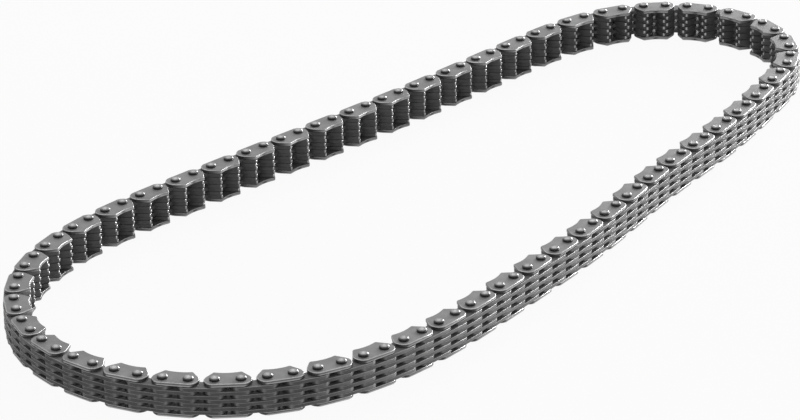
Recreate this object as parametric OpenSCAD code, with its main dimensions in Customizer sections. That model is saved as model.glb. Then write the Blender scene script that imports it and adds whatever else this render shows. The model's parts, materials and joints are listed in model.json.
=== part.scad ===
// Cam chain of the inverted-tooth kind: an endless loop of laced steel link plates.
// The pins stand along Z. The teeth point into the loop, where the two sprockets run.
// The loop lies flat on its lower pin ends, with its two bends along X.

/* [Chain] */
// Distance from one pin to the next
pitch = 6.35; // [6:0.05:8]
// Pins round the loop, two for each guide link
pins = 104; // [96:4:112]
// Toothed plates in a guide row, between its two guide plates
guide_row_plates = 3; // [1:1:5]
// Thickness of every link plate
plate_t = 0.98; // [0.8:0.01:1.2]
// Running gap between plates that lie on each other
plate_gap = 0.05; // [0.03:0.01:0.1]

/* [Pins] */
// Diameter of a pin
pin_d = 2.6; // [2:0.05:2.7]
// How far a pin end stands out of its guide plate
pin_proud = 0.7; // [0.3:0.05:0.8]
// Diameter that peening spreads the pin end to
head_d = 2.7; // [2.7:0.05:3]
// Diameter of the shallow dish that the peening tool leaves
dish_d = 1.5; // [0.8:0.1:1.8]
// Depth of that dish
dish_depth = 0.12; // [0.05:0.01:0.2]
// Clearance round a pin in its own guide plates
seat_clearance = 0.03; // [0.02:0.005:0.05]
// Running clearance round a pin in a toothed plate
running_clearance = 0.05; // [0.03:0.005:0.08]

/* [Toothed plates] */
// Radius of the round ends, about the pins
end_r = 2.86; // [2.8:0.02:3]
// From the pins to the flat back
back = 2.75; // [2.2:0.05:2.8]
// From the pins to the tips of the teeth
tooth_reach = 4; // [3.4:0.1:4.4]
// Slope of the outer tooth flanks, from the plate's middle line
flank_slope = 40; // [34:1:41]
// Width of a tooth at its tip
tip_w = 0.8; // [0.75:0.05:1]
// Radius of the tip's two corners
tip_r = 0.35; // [0.2:0.05:0.4]
// Radius at the root of the crotch between the two teeth
crotch_r = 1.05; // [0.7:0.05:1.1]
// Depth of the crotch from the tooth tips
crotch_depth = 3.3; // [2.4:0.1:3.4]

/* [Guide plates] */
// Radius of the round ends, about the pins
guide_end_r = 2.7; // [2.4:0.05:2.9]
// From the pins to the flat back
guide_back = 2.6; // [2.3:0.05:2.7]
// Slope of the flanks, from the plate's middle line
guide_flank_slope = 37; // [33:1:38]
// Radius of the two toes
toe_r = 0.4; // [0.3:0.05:0.7]
// Depth of the arch between the toes
arch_depth = 0.45; // [0.3:0.05:1]

/* [How the loop lies] */
// Middle of the wide bend, counted in pins from the first pin
near_mid = 0.3; // [-1:0.1:1.5]
// Half the length of the wide bend, in pitches
near_half = 13.7; // [12:0.1:16]
// Half the length of the tight bend, in pitches
far_half = 7.6; // [6.5:0.1:9]
// Lengths over which the wide bend comes in and goes out, in pitches
near_shoulders = [13.9, 16.6]; // [4:0.1:20]
// Lengths over which the tight bend comes in and goes out, in pitches
far_shoulders = [2.8, 9.8]; // [2:0.1:12]
// Turn at every pin, all round the loop, in degrees
even_turn = 0.13; // [-0.5:0.01:0.5]

/* [Hidden] */
// Slack in the two long sides: the pin at the middle of each light bend, and its turn in degrees
slack = [[29.1, 1.45], [33, -1.96], [38.8, 1.42], [72.2, -0.67]];
slack_half = 7;
// How far a flank's line passes inside the round end that it leaves
corner = 0.03;
// Turn at the tight bend, in degrees, from which the closing of the loop starts
first_guess = 10.6;
$fn = 48;

links = pins / 2;
far_link = links / 2;
layers = 2 * guide_row_plates + 3;
layer_pitch = plate_t + plate_gap;
stack_h = layers * plate_t + (layers - 1) * plate_gap;
pin_len = stack_h + 2 * pin_proud;

function total(list, i = 0, sum = 0) = i == len(list) ? sum : total(list, i + 1, sum + list[i]);
function ease(t) = let (c = min(max(t, 0), 1)) c * c * (3 - 2 * c);

// Pitches from the middle of a bend to a pin, the short way round
function along(pin, mid) = (pin - mid + 1.5 * pins) % pins - pins / 2;

// Share of a bend's full turn that a pin takes
function bend_share(pin, mid, half, shoulders) =
    let (d = along(pin, mid))
    ease((half + d) / shoulders[0] + 0.5) * ease((half - d) / shoulders[1] + 0.5);

// Turn that the slack gives a pin
function slack_turn(pin) =
    total([for (s = slack)
        let (d = along(pin, s[0]) / slack_half)
        abs(d) < 1 ? s[1] * (1 + cos(180 * d)) / 2 : 0]);

side_turns = [for (p = [0:pins - 1]) even_turn + slack_turn(p)];
near_shares = [for (p = [0:pins - 1]) bend_share(p, near_mid, near_half, near_shoulders)];

// Turns at all pins for far = [turn at the tight bend, its middle]. The wide bend takes the rest of 360.
function turns(far) =
    let (shares = [for (p = [0:pins - 1]) bend_share(p, far[1], far_half, far_shoulders)],
         near = (360 - total(side_turns) - far[0] * total(shares)) / total(near_shares))
    [for (p = [0:pins - 1]) side_turns[p] + near * near_shares[p] + far[0] * shares[p]];

// Headings of the links, from the turns at their first pins
function headings(turn, start = 0) =
    [for (p = 0, h = start; p < pins; p = p + 1, h = p < pins ? h + turn[p] : 0) h];

// How far the last link misses the first pin
function miss(far) =
    let (h = headings(turns(far)))
    [total([for (a = h) cos(a)]), total([for (a = h) sin(a)])];

// Newton's steps to the tight bend that closes the loop
function close_loop(far, steps) =
    let (m = miss(far), d = 0.001,
         a = (miss(far + [d, 0]) - m) / d,
         b = (miss(far + [0, d]) - m) / d,
         det = a[0] * b[1] - a[1] * b[0])
    steps == 0 ? far : close_loop(
        far - [(m[0] * b[1] - m[1] * b[0]) / det, (a[0] * m[1] - a[1] * m[0]) / det], steps - 1);

turn_at = turns(close_loop([first_guess, near_mid + pins / 2], 6));
free_headings = headings(turn_at);

// Pins laid one after the other from the origin, turned by a start angle
function lay(h) =
    [for (p = 0, at = [0, 0]; p < pins; at = at + pitch * [cos(h[p]), sin(h[p])], p = p + 1) at];
free_pins = lay(free_headings);
long_axis = free_pins[pins / 2] + free_pins[pins / 2 + 1] - free_pins[0] - free_pins[1];
heading = [for (h = free_headings) h - atan2(long_axis[1], long_axis[0])];
turned_pins = lay(heading);

// Corners of every plate's outline, which give the middle of the loop's box
function onto(p, x, y) =
    turned_pins[p] + x * [cos(heading[p]), sin(heading[p])] + y * [-sin(heading[p]), cos(heading[p])];
back_corner = sqrt(end_r * end_r - back * back);
rim = [for (p = [0:pins - 1], x = [-back_corner, pitch + back_corner]) onto(p, x, -back)];
middle = [for (k = [0, 1]) (max([for (r = rim) r[k]]) + min([for (r = rim) r[k]])) / 2];
pin_at = [for (p = turned_pins) p - middle];

// Points of an arc about a centre
function arc(centre, r, from, to, steps) =
    [for (k = [0:steps]) let (a = from + (to - from) * k / steps) centre + r * [cos(a), sin(a)]];

function mirrored(points) = [for (k = [len(points) - 1:-1:0]) [-points[k][0], points[k][1]]];

// Carries one link's pieces to its place: its first pin at the origin, its second along X, teeth along +Y
module at_link(p) {
    translate([pin_at[p % pins][0], pin_at[p % pins][1], pin_proud]) rotate(heading[p % pins]) children();
}

module at_layer(k) {
    translate([0, 0, k * layer_pitch]) children();
}

// Round ends about the two pins, cut off along the back
module plate_ends(r, back_y) {
    difference() {
        union() {
            circle(r);
            translate([pitch, 0]) circle(r);
            translate([0, -r]) square([pitch, 2 * r]);
        }
        translate([-2 * r, -3 * r]) square([pitch + 4 * r, 3 * r - back_y]);
    }
}

module bores(clearance) {
    for (x = [0, pitch]) translate([x, 0]) circle(pin_d / 2 + clearance);
}

// Centre of a corner of radius r between the right-hand flank and the line of the tips
function tip_centre(end, slope, r) =
    let (y = tooth_reach - r)
    [pitch / 2 + (end - corner - r - y * sin(slope)) / cos(slope), y];

// Where the right-hand flank leaves the round end
function flank_foot(end, slope) = [pitch / 2, 0] + (end - corner) * [cos(slope), sin(slope)];

// Toothed link plate: two teeth with a round crotch between them, which straddles one sprocket tooth
module toothed_plate() {
    outer = tip_centre(end_r, flank_slope, tip_r);
    inner = outer - [tip_w - 2 * tip_r, 0];
    root = [0, tooth_reach - crotch_depth + crotch_r];
    half = concat(
        [[pitch / 2, -back / 2], flank_foot(end_r, flank_slope)],
        arc(outer, tip_r, flank_slope, 90, 3),
        arc(inner, tip_r, 90, 145, 3),
        [root + [crotch_r * 0.97, 0], root - [0, crotch_r / 2]]);
    linear_extrude(plate_t) difference() {
        union() {
            plate_ends(end_r, back);
            translate([pitch / 2, 0]) polygon(concat(half, mirrored(half)));
        }
        translate([pitch / 2, 0] + root) circle(crotch_r);
        bores(running_clearance);
    }
}

// Guide plate: outside the sprocket's face, with two toes that keep the chain from walking sideways
module guide_plate() {
    toe = tip_centre(guide_end_r, guide_flank_slope, toe_r);
    arch_w = toe[0] * 2 - toe_r;
    arch_r = (arch_w * arch_w / 4 + arch_depth * arch_depth) / (2 * arch_depth);
    half = concat(
        [[pitch / 2, -guide_back / 2], flank_foot(guide_end_r, guide_flank_slope)],
        arc(toe, toe_r, guide_flank_slope, 115, 5));
    linear_extrude(plate_t) difference() {
        union() {
            plate_ends(guide_end_r, guide_back);
            translate([pitch / 2, 0]) polygon(concat(half, mirrored(half)));
        }
        translate([pitch / 2, tooth_reach - arch_depth + arch_r]) circle(arch_r, $fn = 96);
        bores(seat_clearance);
    }
}

// Round pin, its ends spread a little over the guide plates and dished by the peening tool
module pin() {
    edge = pin_proud * 0.3;
    spread = (head_d - pin_d) / 2;
    dish_floor = dish_d / 2 - dish_depth;
    // Lower half of the pin's outline, from the axis outwards, measured down from the guide plate's face
    end = [[0, pin_proud - dish_depth], [dish_floor, pin_proud - dish_depth], [dish_d / 2, pin_proud],
           [head_d / 2 - edge, pin_proud], [head_d / 2, pin_proud - edge],
           [head_d / 2, 2 * spread], [pin_d / 2, spread]];
    rotate_extrude() polygon(concat(
        [for (e = end) [e[0], -e[1]]],
        [for (k = [len(end) - 1:-1:0]) [end[k][0], stack_h + end[k][1]]]));
}

// The toothed plates of one row. A guide row's lie on the even layers, an articulating row's on the odd ones
module row(first, count) {
    for (k = [0:count - 1]) at_layer(first + 2 * k) toothed_plate();
}

module lower_guide(p) {
    color([0.56, 0.56, 0.56]) at_link(p) guide_plate();
}

module upper_guide(p) {
    color([0.56, 0.56, 0.56]) at_link(p) at_layer(layers - 1) guide_plate();
}

module link_pins(p) {
    color([0.75, 0.75, 0.74]) at_link(p) for (x = [0, pitch]) translate([x, 0, 0]) pin();
}

module guide_row(p) {
    color([0.28, 0.28, 0.27]) at_link(p) row(2, guide_row_plates);
}

module articulating_row(p) {
    color([0.31, 0.31, 0.3]) at_link(p + 1) row(1, guide_row_plates + 1);
}

// One guide link and the articulating row after it: every piece a solid of its own
module chain_link(number) {
    p = 2 * (number - 1);
    lower_guide(p);
    upper_guide(p);
    link_pins(p);
    guide_row(p);
    articulating_row(p);
}

function link_name(number) = str("link_", number < 10 ? "0" : "", number);
plain_links = [for (number = [1:links]) if (number != 1 && number != far_link + 1) number];

lower_guide(0);  // near_lower_guide_plate
upper_guide(0);  // near_upper_guide_plate
link_pins(0);  // near_pins
guide_row(0);  // near_guide_row_plates
articulating_row(0);  // near_articulating_row_plates
lower_guide(2 * far_link);  // far_lower_guide_plate
upper_guide(2 * far_link);  // far_upper_guide_plate
link_pins(2 * far_link);  // far_pins
guide_row(2 * far_link);  // far_guide_row_plates
articulating_row(2 * far_link);  // far_articulating_row_plates
for (number = plain_links)
    chain_link(number);
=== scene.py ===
import json
import math
import bpy
import numpy as np
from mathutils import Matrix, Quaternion, Vector


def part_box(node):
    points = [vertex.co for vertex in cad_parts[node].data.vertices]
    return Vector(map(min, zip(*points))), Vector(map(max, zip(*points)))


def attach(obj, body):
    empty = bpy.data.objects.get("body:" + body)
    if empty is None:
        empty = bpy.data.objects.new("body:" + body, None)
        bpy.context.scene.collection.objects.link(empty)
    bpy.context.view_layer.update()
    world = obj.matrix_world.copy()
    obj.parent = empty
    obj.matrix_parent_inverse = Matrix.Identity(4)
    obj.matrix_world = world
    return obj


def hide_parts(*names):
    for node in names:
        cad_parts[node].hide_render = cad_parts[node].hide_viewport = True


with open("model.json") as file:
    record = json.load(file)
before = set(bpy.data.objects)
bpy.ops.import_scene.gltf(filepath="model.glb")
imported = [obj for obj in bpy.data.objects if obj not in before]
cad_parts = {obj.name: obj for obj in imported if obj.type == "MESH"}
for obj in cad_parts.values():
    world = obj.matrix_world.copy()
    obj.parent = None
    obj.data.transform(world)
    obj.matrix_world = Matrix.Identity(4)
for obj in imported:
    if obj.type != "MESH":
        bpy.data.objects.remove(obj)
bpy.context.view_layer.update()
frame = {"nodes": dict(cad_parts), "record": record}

# The camera stands where the photograph was taken from: beyond the wide bend and to one side of it,
# 24 degrees up and far away, behind a long lens. The picture is 800 pixels wide.
aim = Vector((-0.02459, -0.00558, 0.00949))
azimuth = math.radians(-50.93)
elevation = math.radians(24.48)
roll = math.radians(-1.02)
distance = 1.09374
sensor_width = 36
lens_in_pixels = 4210
picture_width = 800
nearest_seen = 0.05
farthest_seen = 20
backwards = Vector((math.sin(azimuth) * math.cos(elevation),
                    -math.cos(azimuth) * math.cos(elevation),
                    math.sin(elevation)))
camera = bpy.data.objects.new("camera", bpy.data.cameras.new("camera"))
bpy.context.scene.collection.objects.link(camera)
camera.location = aim + distance * backwards
camera.rotation_mode = "QUATERNION"
camera.rotation_quaternion = (-backwards).to_track_quat("-Z", "Y") @ Quaternion((0, 0, 1), roll)
camera.data.sensor_width = sensor_width
camera.data.lens = lens_in_pixels / picture_width * sensor_width
camera.data.clip_start = nearest_seen
camera.data.clip_end = farthest_seen
bpy.context.scene.camera = camera
bpy.context.scene.view_settings.view_transform = "Standard"

# The route of the chain: two pins stand in each link, and the links follow each other round the
# loop. Every pin ends in a flat ring, so its place is the middle of its ring in the fixed frame.
links = list(frame["record"]["behaviour"]["bodies"])
named_ends = {"near_link": "near_", "far_link": "far_"}
micrometre = 0.000001
micrometre_places = 6


def node_of(body, sub_part):
    """The node that holds a sub-part: its own at the two named ends, and elsewhere the whole link's."""
    return named_ends[body] + sub_part if body in named_ends else body


def pin_pair(body):
    """Places of a link's two pins. The vertices within a micrometre of the topmost one are those of
    the pins' flat rings. Across the direction in which they spread most they part into two rings,
    and the mean of each ring is a pin's place."""
    mesh = frame["nodes"][node_of(body, "pins")].data
    vertices = np.empty(len(mesh.vertices) * 3)
    mesh.vertices.foreach_get("co", vertices)
    vertices = vertices.reshape(-1, 3)
    topmost = vertices[:, 2] > vertices[:, 2].max() - micrometre
    rings = np.unique(vertices[topmost][:, :2].round(micrometre_places), axis=0)
    off = rings - rings.mean(0)
    longest = np.linalg.svd(off, full_matrices=False)[2][0]
    side = off @ longest > 0
    return [rings[~side].mean(0), rings[side].mean(0)]


pairs = np.array([pin_pair(body) for body in links])
middles = pairs.mean(1)
travel = np.roll(middles, -1, 0) - np.roll(middles, 1, 0)
backward = ((pairs[:, 1] - pairs[:, 0]) * travel).sum(1) < 0
pairs[backward] = pairs[backward][:, ::-1]
pin_at = pairs.reshape(-1, 2)
pitch = np.linalg.norm(pairs[:, 1] - pairs[:, 0], axis=1).mean()

# All plates lie in layers of one height. The guide plates are the lowest and the highest, and the
# four plates of an articulating row lie on every second layer between them.
plates_across = 4
guide_low, guide_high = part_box("near_lower_guide_plate")
rows_low, rows_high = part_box("near_articulating_row_plates")
plate_thickness = guide_high.z - guide_low.z
layer_pitch = (rows_high.z - rows_low.z - plate_thickness) / (2 * plates_across - 2)


def underside(layer):
    """Height of a plate's lower face: the lowest plate's, and one layer pitch more for each layer."""
    return guide_low.z + layer * layer_pitch


# The guide plates lie outside the laced rows, one below and one above each guide link, pressed on
# its pins. They are blanked from strip steel, hardened and tumbled: their edges are round and
# bright, their faces an even satin grey, and their flanks bright low down and dark above. Round the
# plates' ends the flanks are darker still, and that darkness is painted shade.
reach = 0.004
guide_end_r = 0.0027
guide_back = 0.0026
guide_slope = 37
flank_inset = 0.00003
toe_r = 0.0004
toe_stop = 95
arch_depth = 0.00045
guide_rounding = 0.0002
seat_bore_r = 0.00133
bore_steps = 12
# A point of the outline is on the back if it lies past this share of the back's distance.
back_share = 0.99


def arc(centre, r, start, stop, steps):
    """Points on a circle: the centre plus r times the cosine and the sine of an angle that goes in
    equal steps from start to stop, in degrees."""
    angle = np.radians(np.linspace(start, stop, steps + 1))
    return np.array(centre) + r * np.c_[np.cos(angle), np.sin(angle)]


def both_sides(right_half):
    """The toothed side of a plate's outline: its right half, which runs from the right-hand end over
    the teeth to the middle line, and then the same points mirrored about that line, backwards."""
    return np.concatenate([right_half, right_half[-2::-1] * [-1, 1]])


def round_back(end_r, back):
    """The back of a plate's outline, from the left-hand end to the right-hand one. The ends are
    circles about the bores, and the flat back cuts them at the angle whose sine is back over end_r."""
    turn = math.degrees(math.asin(back / end_r))
    return np.concatenate([arc((-pitch / 2, 0), end_r, 180, 180 + turn, steps=4)[1:],
                           arc((pitch / 2, 0), end_r, 360 - turn, 360, steps=4)[:-1]])


def tip_centre(end_r, slope, r):
    """Centre of the round corner between a flank and the line of the tips. It lies r inside both:
    the tips' line is at the reach, and the flank's line faces out at the slope and passes the bore's
    centre at the end's radius less a small inset."""
    s = math.radians(slope)
    y = reach - r
    return np.array([pitch / 2 + (end_r - flank_inset - r - y * math.sin(s)) / math.cos(s), y])


def wear_and_painted_light_of(places, lower_flank, upper_flank, edges, faces):
    """How far a plate is worn, with painted light in some of the numbers. Each list has a number for
    each kind of place on the outline and one more for the rest of it: for the lower and the upper end
    of the flank, and for the roundings."""
    by_point = [np.select(places, worn[:-1], worn[-1]) for worn in (lower_flank, upper_flank, edges)]
    return (*by_point, faces)


def plate_shape(outline, toothed_points, bore_r, rounding, wear):
    """One plate, lying with its lower face at nought and the middle between its bores at the origin:
    the vertices' places across and up, the faces, and the normal and the wear at each face's corners.
    The outline is carried up through four rings: drawn in by the rounding at the lower face, full at
    one rounding above it and one below the upper face, and drawn in again at the upper face. A point
    goes in along the mean direction of its two sides, by the rounding over the cosine between that
    and a side. Normals point down and up at the outer rings and outwards at the inner ones, so they
    turn across a rounding. A face of the plate is two polygons that meet on the line through the
    bores. The first toothed_points of the outline lie on the teeth's side of that line."""
    n = len(outline)
    m = bore_steps
    side = np.roll(outline, -1, 0) - outline
    facing = np.c_[side[:, 1], -side[:, 0]] / np.linalg.norm(side, axis=1)[:, None]
    outward = facing + np.roll(facing, 1, 0)
    outward /= np.linalg.norm(outward, axis=1)[:, None]
    mitre = outward / (outward * facing).sum(1)[:, None]
    rounding = np.broadcast_to(rounding, n)
    drawn_in = outline - rounding[:, None] * mitre
    circle = arc((0, 0), 1, 0, 360, m)[:-1]
    bores = np.concatenate([circle * bore_r - [pitch / 2, 0], circle * bore_r + [pitch / 2, 0]])
    across = np.concatenate([drawn_in, outline, outline, drawn_in, bores, bores])
    up = np.concatenate([np.zeros(n), rounding, plate_thickness - rounding,
                         np.full(n, plate_thickness), np.zeros(2 * m),
                         np.full(2 * m, plate_thickness)])
    tilt = np.repeat([-1.0, 0, 0, 1, 0, 0], [n, n, n, n, 2 * m, 2 * m])
    sideways = np.concatenate([outward, outward, outward, outward, -np.tile(circle, (4, 1))])
    normal = np.c_[sideways * (tilt == 0)[:, None], tilt]

    # Walls join each point i of a ring, and its neighbour j, to the next ring up, and likewise the
    # points b and c of the bores' lower and upper circles.
    i = np.arange(n)
    j = (i + 1) % n
    walls = [np.c_[k * n + i, k * n + j, (k + 1) * n + j, (k + 1) * n + i] for k in range(3)]
    top = 3 * n
    low_bores = 4 * n
    high_bores = low_bores + 2 * m
    b = np.arange(2 * m)
    c = b - b % m + (b + 1) % m
    bore_walls = np.c_[low_bores + b, high_bores + b, high_bores + c, low_bores + c]

    # The upper face's polygons run along the outline's toothed side and then over both bores, and
    # along its back and then under both. The lower face's are the same in the opposite order.
    over = np.arange(m // 2, -1, -1)
    under = (-np.arange(m // 2 + 1)) % m
    toothed = np.concatenate([top + np.arange(toothed_points),
                              high_bores + over, high_bores + m + over])
    backed = np.concatenate([top + np.arange(toothed_points - 1, n + 1) % n,
                             high_bores + m + under, high_bores + under])
    upper = [toothed, backed]
    lower = [np.where(face >= low_bores, face - 2 * m, face - top)[::-1] for face in upper]
    faces = [*np.concatenate(walls), *bore_walls, *upper, *lower]

    # The wear at the faces' corners, and their normals: those of the plate's own faces point straight
    # up or down, and the others are those of the vertices.
    lower_flank, upper_flank, edges, on_faces = wear
    edge = np.c_[edges[i], edges[j], edges[j], edges[i]].ravel()
    flank = np.c_[lower_flank[i], lower_flank[j], upper_flank[j], upper_flank[i]].ravel()
    face_corners = 2 * (len(toothed) + len(backed))
    worn = np.concatenate([edge, flank, edge, np.zeros(bore_walls.size),
                           np.full(face_corners, on_faces)])
    straight = np.repeat([0, 1, -1], [worn.size - face_corners, face_corners // 2, face_corners // 2])
    shade = np.where((straight != 0)[:, None], np.c_[straight * 0, straight * 0, straight],
                     normal[np.concatenate(faces)])
    return across, up, faces, shade, worn


def plates_on(shape, first, second, undersides):
    """Like plates over each other on two pins: the shape is turned so that its length runs from the
    first pin to the second, moved to the middle between them, and raised to each underside."""
    across, up, faces, shade, worn = shape
    along = (second - first) / np.linalg.norm(second - first)
    turn = np.array([along, [-along[1], along[0]]])
    placed = (first + second) / 2 + across @ turn
    solids = np.array([np.c_[placed, up + z] for z in undersides])
    return solids, faces, np.c_[shade[:, :2] @ turn, shade[:, 2]], worn


def piece(name, body, node, material, slot, solids, faces, shade, worn):
    """Puts like solids into one mesh, one after the other, with the same faces, normals and wear,
    rides it on its body and lets it stand for its node."""
    copies, vertices = solids.shape[:2]
    sizes = np.tile([len(face) for face in faces], copies)
    corners = (np.concatenate(faces) + vertices * np.arange(copies)[:, None]).ravel()
    mesh = bpy.data.meshes.new(name)
    mesh.vertices.add(copies * vertices)
    mesh.vertices.foreach_set("co", solids.astype(np.float32).ravel())
    mesh.loops.add(len(corners))
    mesh.loops.foreach_set("vertex_index", corners.astype(np.int32))
    mesh.polygons.add(len(sizes))
    mesh.polygons.foreach_set("loop_start", (np.cumsum(sizes) - sizes).astype(np.int32))
    mesh.update(calc_edges=True)
    mesh.polygons.foreach_set("use_smooth", np.ones(len(sizes), bool))
    wear = mesh.attributes.new("worn", "FLOAT", "CORNER")
    wear.data.foreach_set("value", np.tile(worn, copies).astype(np.float32))
    mesh.normals_split_custom_set(np.tile(shade, (copies, 1)).astype(np.float32))
    mesh.materials.append(material)
    made = bpy.data.objects.new(name, mesh)
    bpy.context.scene.collection.objects.link(made)
    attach(made, body)
    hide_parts(node)


def steel(name, dark, light, worn, metallic, shine, roughness, worn_roughness, grain):
    """Steel that goes over from plain to worn in the share that the piece's attribute worn gives. That
    attribute holds real wear and, in places, painted light too: shade on the pins' walls and on the
    guide plates' end walls, a glint on the teeth's tips and a sheen on their shoulders. The plain
    grey follows a slow mottle from dark to light, and the worn grey follows it about worn. Worn
    steel is bare metal. Plain steel has a thin oxide, so it is metallic only in part, and shine is
    how strongly the oxide mirrors. A fine tumbled grain is in the plain roughness, and in the
    surface, grain deep."""
    mottle_span = (0.35, 0.65)
    grain_span = (0.3, 0.7)
    worn_dark = 0.85 * worn
    worn_light = 1.1 * worn
    smoothest = roughness - 0.06
    roughest = roughness + 0.08
    material = bpy.data.materials.new(name)
    material.use_nodes = True
    tree = material.node_tree
    shader = tree.nodes["Principled BSDF"]
    place = tree.nodes.new("ShaderNodeTexCoord").outputs["Object"]

    def noise(scale, detail):
        """Noise on the object's coordinates, with scale waves to the metre."""
        node = tree.nodes.new("ShaderNodeTexNoise")
        node.inputs["Scale"].default_value = scale
        node.inputs["Detail"].default_value = detail
        tree.links.new(place, node.inputs["Vector"])
        return node.outputs["Fac"]

    def spread(value, span, low, high):
        """The value, with its span stretched to run from low to high."""
        node = tree.nodes.new("ShaderNodeMapRange")
        tree.links.new(value, node.inputs["Value"])
        node.inputs["From Min"].default_value = span[0]
        node.inputs["From Max"].default_value = span[1]
        node.inputs["To Min"].default_value = low
        node.inputs["To Max"].default_value = high
        return node.outputs["Result"]

    def where_worn(plain, bare):
        """Plain times one less the wear, plus bare times the wear. A mix node's sockets 0, 2 and 3
        are its share and its two numbers."""
        node = tree.nodes.new("ShaderNodeMix")
        tree.links.new(wear, node.inputs[0])
        for socket, value in zip(node.inputs[2:4], (plain, bare)):
            if isinstance(value, bpy.types.NodeSocket):
                tree.links.new(value, socket)
            else:
                socket.default_value = value
        return node.outputs[0]

    attribute = tree.nodes.new("ShaderNodeAttribute")
    attribute.attribute_name = "worn"
    wear = attribute.outputs["Fac"]
    mottle = noise(scale=260, detail=5)
    fine = noise(scale=2600, detail=3)
    grey = where_worn(spread(mottle, mottle_span, dark, light),
                      spread(mottle, mottle_span, worn_dark, worn_light))
    tree.links.new(grey, shader.inputs["Base Color"])
    tree.links.new(where_worn(metallic, 1.0), shader.inputs["Metallic"])
    shader.inputs["Specular IOR Level"].default_value = shine
    rough = where_worn(spread(fine, grain_span, smoothest, roughest), worn_roughness)
    tree.links.new(rough, shader.inputs["Roughness"])
    bump = tree.nodes.new("ShaderNodeBump")
    bump.inputs["Strength"].default_value = 1
    bump.inputs["Distance"].default_value = grain
    tree.links.new(fine, bump.inputs["Height"])
    tree.links.new(bump.outputs["Normal"], shader.inputs["Normal"])
    return material


toe = tip_centre(guide_end_r, guide_slope, toe_r)
arch_half = toe[0] - toe_r / 2
arch_r = (arch_half ** 2 + arch_depth ** 2) / (2 * arch_depth)
arch_swing = math.degrees(math.asin(arch_half / arch_r))
guide_teeth = both_sides(np.concatenate([
    arc((pitch / 2, 0), guide_end_r, 0, guide_slope, steps=2),
    arc(toe, toe_r, guide_slope, toe_stop, steps=4),
    arc((0, reach - arch_depth + arch_r), arch_r, -90 + arch_swing, -90, steps=3)]))
guide_outline = np.concatenate([guide_teeth, round_back(guide_end_r, guide_back)])
guide_on_back = guide_outline[:, 1] < back_share * -guide_back
# The low flank numbers at the ends paint shade on the end walls.
guide_ends_with_painted_shade = (guide_outline[:, 1] < reach - arch_depth) & ~guide_on_back
guide_wear_and_painted_shade = wear_and_painted_light_of([guide_ends_with_painted_shade, guide_on_back], lower_flank=[0.1, 1.0, 0.75],
                     upper_flank=[0.0, 0.0, 0.35], edges=[0.85, 0.85, 0.62], faces=0.4)
guide_shape = plate_shape(guide_outline, len(guide_teeth), seat_bore_r, guide_rounding, guide_wear_and_painted_shade)
guide_steel = steel("guide_plate_steel", dark=0.035, light=0.055, worn=0.42, metallic=0.25,
                    shine=0.5, roughness=0.5, worn_roughness=0.32, grain=0.000004)
guide_layers = {"lower": 0, "upper": 2 * plates_across}
for number, body in enumerate(links):
    for end, layer in guide_layers.items():
        piece(f"{body}.{end}_guide_plate", body, node_of(body, end + "_guide_plate"),
              guide_steel, "guide_plate_steel",
              *plates_on(guide_shape, pin_at[2 * number], pin_at[2 * number + 1], [underside(layer)]))

# The toothed link plates carry the load: three lie between the guide plates of each guide link,
# and four, on the layers between them, join it to the next. They are blanked, hardened and dark
# with a matt oxide. Guide rails polish the edges of their backs, and sprockets their tips. The tips'
# bright metal is partly that polish and partly a painted glint, and the lighter shoulders, where the
# ends meet the backs, are partly rail polish and partly a painted sheen.
toothed_end_r = 0.00286
toothed_back = 0.00275
toothed_slope = 40
tip_width = 0.0008
tip_r = 0.00035
tip_stop = 145
crotch_r = 0.00105
crotch_depth = 0.0033
tip_rounding = 0.00026
back_rounding = 0.00012
flank_rounding = 0.00006
running_bore_r = 0.00135
# A point is at a tip past this share of the reach, and on a shoulder past this share of the back's
# distance, where the round end goes over into the back.
tip_share = 0.98
shoulder_share = 0.8
tip = tip_centre(toothed_end_r, toothed_slope, tip_r)
root = np.array([0, reach - crotch_depth + crotch_r])
toothed_teeth = both_sides(np.concatenate([
    arc((pitch / 2, 0), toothed_end_r, 0, toothed_slope, steps=2),
    arc(tip, tip_r, toothed_slope, 90, steps=2),
    arc(tip - [tip_width - 2 * tip_r, 0], tip_r, 90, tip_stop, steps=2)[1:],
    arc(root, crotch_r, 0, -90, steps=3)]))
toothed_outline = np.concatenate([toothed_teeth, round_back(toothed_end_r, toothed_back)])
at_tip_with_painted_glint = toothed_outline[:, 1] > tip_share * reach
on_back = toothed_outline[:, 1] < back_share * -toothed_back
# The shoulders' wear lightens their facets: partly rail polish, partly a painted sheen.
on_shoulder_with_painted_sheen = (toothed_outline[:, 1] < shoulder_share * -toothed_back) & ~on_back
toothed_rounding = np.select([at_tip_with_painted_glint, on_back], [tip_rounding, back_rounding], flank_rounding)
# At the tips the high numbers are sprocket polish and, in part, a painted glint.
toothed_wear_and_painted_light = wear_and_painted_light_of([at_tip_with_painted_glint, on_back, on_shoulder_with_painted_sheen], lower_flank=[0.65, 0.02, 0.31, 0.0],
                       upper_flank=[0.65, 0.0, 0.31, 0.0], edges=[0.93, 0.48, 0.46, 0.04],
                       faces=0.15)
toothed_shape = plate_shape(toothed_outline, len(toothed_teeth), running_bore_r, toothed_rounding,
                            toothed_wear_and_painted_light)
toothed_steel = steel("toothed_plate_steel", dark=0.14, light=0.17, worn=0.48, metallic=0.1,
                      shine=0.05, roughness=0.45, worn_roughness=0.3, grain=0.000004)

# A guide row lies on its own link's two pins, and an articulating row on its link's second pin and
# the next link's first. For each row: its first pin in the link, lowest layer, count of plates.
rows = {"guide_row": (0, 2, plates_across - 1), "articulating_row": (1, 1, plates_across)}
for number, body in enumerate(links):
    for row, (first_pin, lowest, count) in rows.items():
        first = 2 * number + first_pin
        second = (first + 1) % len(pin_at)
        piece(f"{body}.{row}_plates", body, node_of(body, row + "_plates"),
              toothed_steel, "toothed_plate_steel",
              *plates_on(toothed_shape, pin_at[first], pin_at[second],
                         [underside(lowest + 2 * k) for k in range(count)]))

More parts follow.
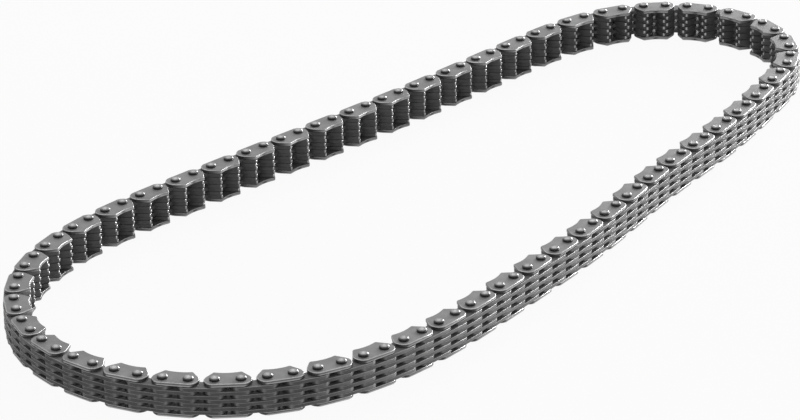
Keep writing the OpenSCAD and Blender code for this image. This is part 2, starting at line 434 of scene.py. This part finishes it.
# The round pins are through-hardened and polished by running. Each is pressed through both guide
# plates, and a tool peens its ends, which spreads them a little and leaves a shallow, brighter dish.
# The outer rim and the wall below it are kept unworn and the plain steel nearly black: that darkness
# is painted shade round the pin's foot.
pin_r = 0.0013
head_r = 0.00135
dish_floor_r = 0.0003
dish_r = 0.0006
dish_depth = 0.00012
rim_width = 0.00042
rim_drop = 0.00033
rim_bluntness = 1.6
rim_steps = 5
neck_top = 0.0001
neck_foot = 0.00004
round_steps = 16
# Wear by rings from the dish outwards. The rings past these get none, and that is painted shade.
pin_end_wear_and_painted_light = [1.0, 0.6, 0.5, 0.5, 0.3]
pins_low, pins_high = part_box("near_pins")
proud = guide_low.z - pins_low.z


def pin_mesh(at):
    """Pins as solids of revolution. A half line runs from the dish's floor over the flat ring and the
    rim to the neck, just above the guide plate, where the head narrows to the pin. The rim goes out
    by its width times a cosine and down by its drop less its drop times a sine, both raised to the
    bluntness. A power above one makes it blunter than a quarter ellipse. The line is the half line
    and its mirror image at the other end. Its normals are square to the run of its neighbours, and
    all of it is turned about each pin's axis. The wear goes by rings, from the dish outwards, and the
    rings past the listed ones get none: on the outer rim and the wall that is painted shade."""
    rim = arc((0, 0), 1, 90, 0, rim_steps) ** rim_bluntness * [rim_width, rim_drop]
    rim += [head_r - rim_width, -rim_drop]
    half = np.concatenate([[[dish_floor_r, -dish_depth], [dish_r, 0]], rim,
                           [[head_r, -proud + neck_top], [pin_r, -proud + neck_foot]]])
    line = np.concatenate([half + [0, pins_high.z], (half * [1, -1] + [0, pins_low.z])[::-1]])
    run = np.gradient(line, axis=0)
    lean = np.c_[-run[:, 1], run[:, 0]]
    lean /= np.linalg.norm(lean, axis=1)[:, None]
    lean[[0, -1]] = [0, 1], [0, -1]
    circle = arc((0, 0), 1, 0, 360, round_steps)[:-1]
    across = (line[:, 0, None, None] * circle[None]).reshape(-1, 2)
    up = np.repeat(line[:, 1], round_steps)
    sideways = (lean[:, 0, None, None] * circle[None]).reshape(-1, 2)
    normal = np.c_[sideways, np.repeat(lean[:, 1], round_steps)]
    i = np.arange(round_steps)
    j = (i + 1) % round_steps
    last = (len(line) - 1) * round_steps
    walls = [np.c_[k + i, k + round_steps + i, k + round_steps + j, k + j]
             for k in range(0, last, round_steps)]
    faces = [i, *np.concatenate(walls), (i + last)[::-1]]
    corner = np.concatenate(faces)
    half_wear_and_painted_light = np.pad(pin_end_wear_and_painted_light, (0, len(half) - len(pin_end_wear_and_painted_light)))
    worn = np.concatenate([half_wear_and_painted_light, half_wear_and_painted_light[::-1]])[corner // round_steps]
    return np.array([np.c_[across + place, up] for place in at]), faces, normal[corner], worn


# The plain grey is nearly black: painted shade on the pins' outer rims and walls.
pin_steel = steel("pin_steel", dark=0.015, light=0.025, worn=0.5, metallic=0.2,
                  shine=0.5, roughness=0.26, worn_roughness=0.24, grain=0.000003)
for number, body in enumerate(links):
    piece(f"{body}.pins", body, node_of(body, "pins"), pin_steel, "pin_steel",
          *pin_mesh(pin_at[2 * number:2 * number + 2]))

# The floor is a plain pale sheet under the loop. The camera sees it and the surroundings as white,
# at a strength of one, and the chain's shadow stays on it, fainter than on paint.
floor_half = 3
floor_tone = 0.6
shadow_share = 0.06
white = 1


def white_for_sight(tree):
    """One where a ray comes from the camera, a glossy surface or glass, and nought elsewhere: the
    sum of the three, held to one."""
    path = tree.nodes.new("ShaderNodeLightPath")
    total = path.outputs["Is Camera Ray"]
    for kind in ("Is Glossy Ray", "Is Transmission Ray"):
        add = tree.nodes.new("ShaderNodeMath")
        add.use_clamp = True
        tree.links.new(total, add.inputs[0])
        tree.links.new(path.outputs[kind], add.inputs[1])
        total = add.outputs[0]
    return total


floor_mesh = bpy.data.meshes.new("floor")
floor_corners = [(x * floor_half, y * floor_half, 0) for x, y in ((-1, -1), (1, -1), (1, 1), (-1, 1))]
floor_mesh.from_pydata(floor_corners, [], [(0, 1, 2, 3)])
floor = bpy.data.objects.new("floor", floor_mesh)
bpy.context.scene.collection.objects.link(floor)
floor_material = bpy.data.materials.new("floor")
floor_material.use_nodes = True
floor_tree = floor_material.node_tree
floor_tree.nodes.remove(floor_tree.nodes["Principled BSDF"])
paint = floor_tree.nodes.new("ShaderNodeBsdfDiffuse")
paint.inputs["Color"].default_value = (floor_tone, floor_tone, floor_tone, 1)
glow = floor_tree.nodes.new("ShaderNodeEmission")
glow.inputs["Strength"].default_value = white
seen = floor_tree.nodes.new("ShaderNodeMath")
seen.operation = "MULTIPLY"
seen.inputs[1].default_value = 1 - shadow_share
floor_tree.links.new(white_for_sight(floor_tree), seen.inputs[0])
floor_mix = floor_tree.nodes.new("ShaderNodeMixShader")
floor_tree.links.new(seen.outputs[0], floor_mix.inputs[0])
floor_tree.links.new(paint.outputs[0], floor_mix.inputs[1])
floor_tree.links.new(glow.outputs[0], floor_mix.inputs[2])
floor_tree.links.new(floor_mix.outputs[0], floor_tree.nodes["Material Output"].inputs["Surface"])
floor_mesh.materials.append(floor_material)

# Soft studio light: pale surroundings, a square lamp on the right, a low strip lamp at the front
# right, which the edges and the tips of the teeth catch, and a weaker square one overhead.
surroundings = 0.35
world = bpy.data.worlds.new("studio")
bpy.context.scene.world = world
world.use_nodes = True
world_tree = world.node_tree
dim = world_tree.nodes["Background"]
dim.inputs["Color"].default_value = (1, 1, 1, 1)
dim.inputs["Strength"].default_value = surroundings
bright = world_tree.nodes.new("ShaderNodeBackground")
bright.inputs["Color"].default_value = (1, 1, 1, 1)
bright.inputs["Strength"].default_value = white
world_mix = world_tree.nodes.new("ShaderNodeMixShader")
world_tree.links.new(white_for_sight(world_tree), world_mix.inputs[0])
world_tree.links.new(dim.outputs[0], world_mix.inputs[1])
world_tree.links.new(bright.outputs[0], world_mix.inputs[2])
world_tree.links.new(world_mix.outputs[0], world_tree.nodes["World Output"].inputs["Surface"])


def lamp(name, toward, away, width, height, power):
    """A rectangular lamp that faces the camera's aim, from a point away from it in a direction."""
    light = bpy.data.lights.new(name, "AREA")
    light.shape = "RECTANGLE"
    light.size = width
    light.size_y = height
    light.energy = power
    made = bpy.data.objects.new(name, light)
    bpy.context.scene.collection.objects.link(made)
    direction = Vector(toward).normalized()
    made.location = aim + away * direction
    made.rotation_euler = (-direction).to_track_quat("-Z", "Y").to_euler()


lamp("right_lamp", toward=(0.95, 0.15, 0.22), away=1.2, width=0.5, height=0.5, power=15.5)
lamp("front_right_lamp", toward=(0.84, -0.54, 0.03), away=1.2, width=0.6, height=0.06, power=21)
lamp("overhead_lamp", toward=(0.35, 0.45, 1), away=1.4, width=0.9, height=0.9, power=3)
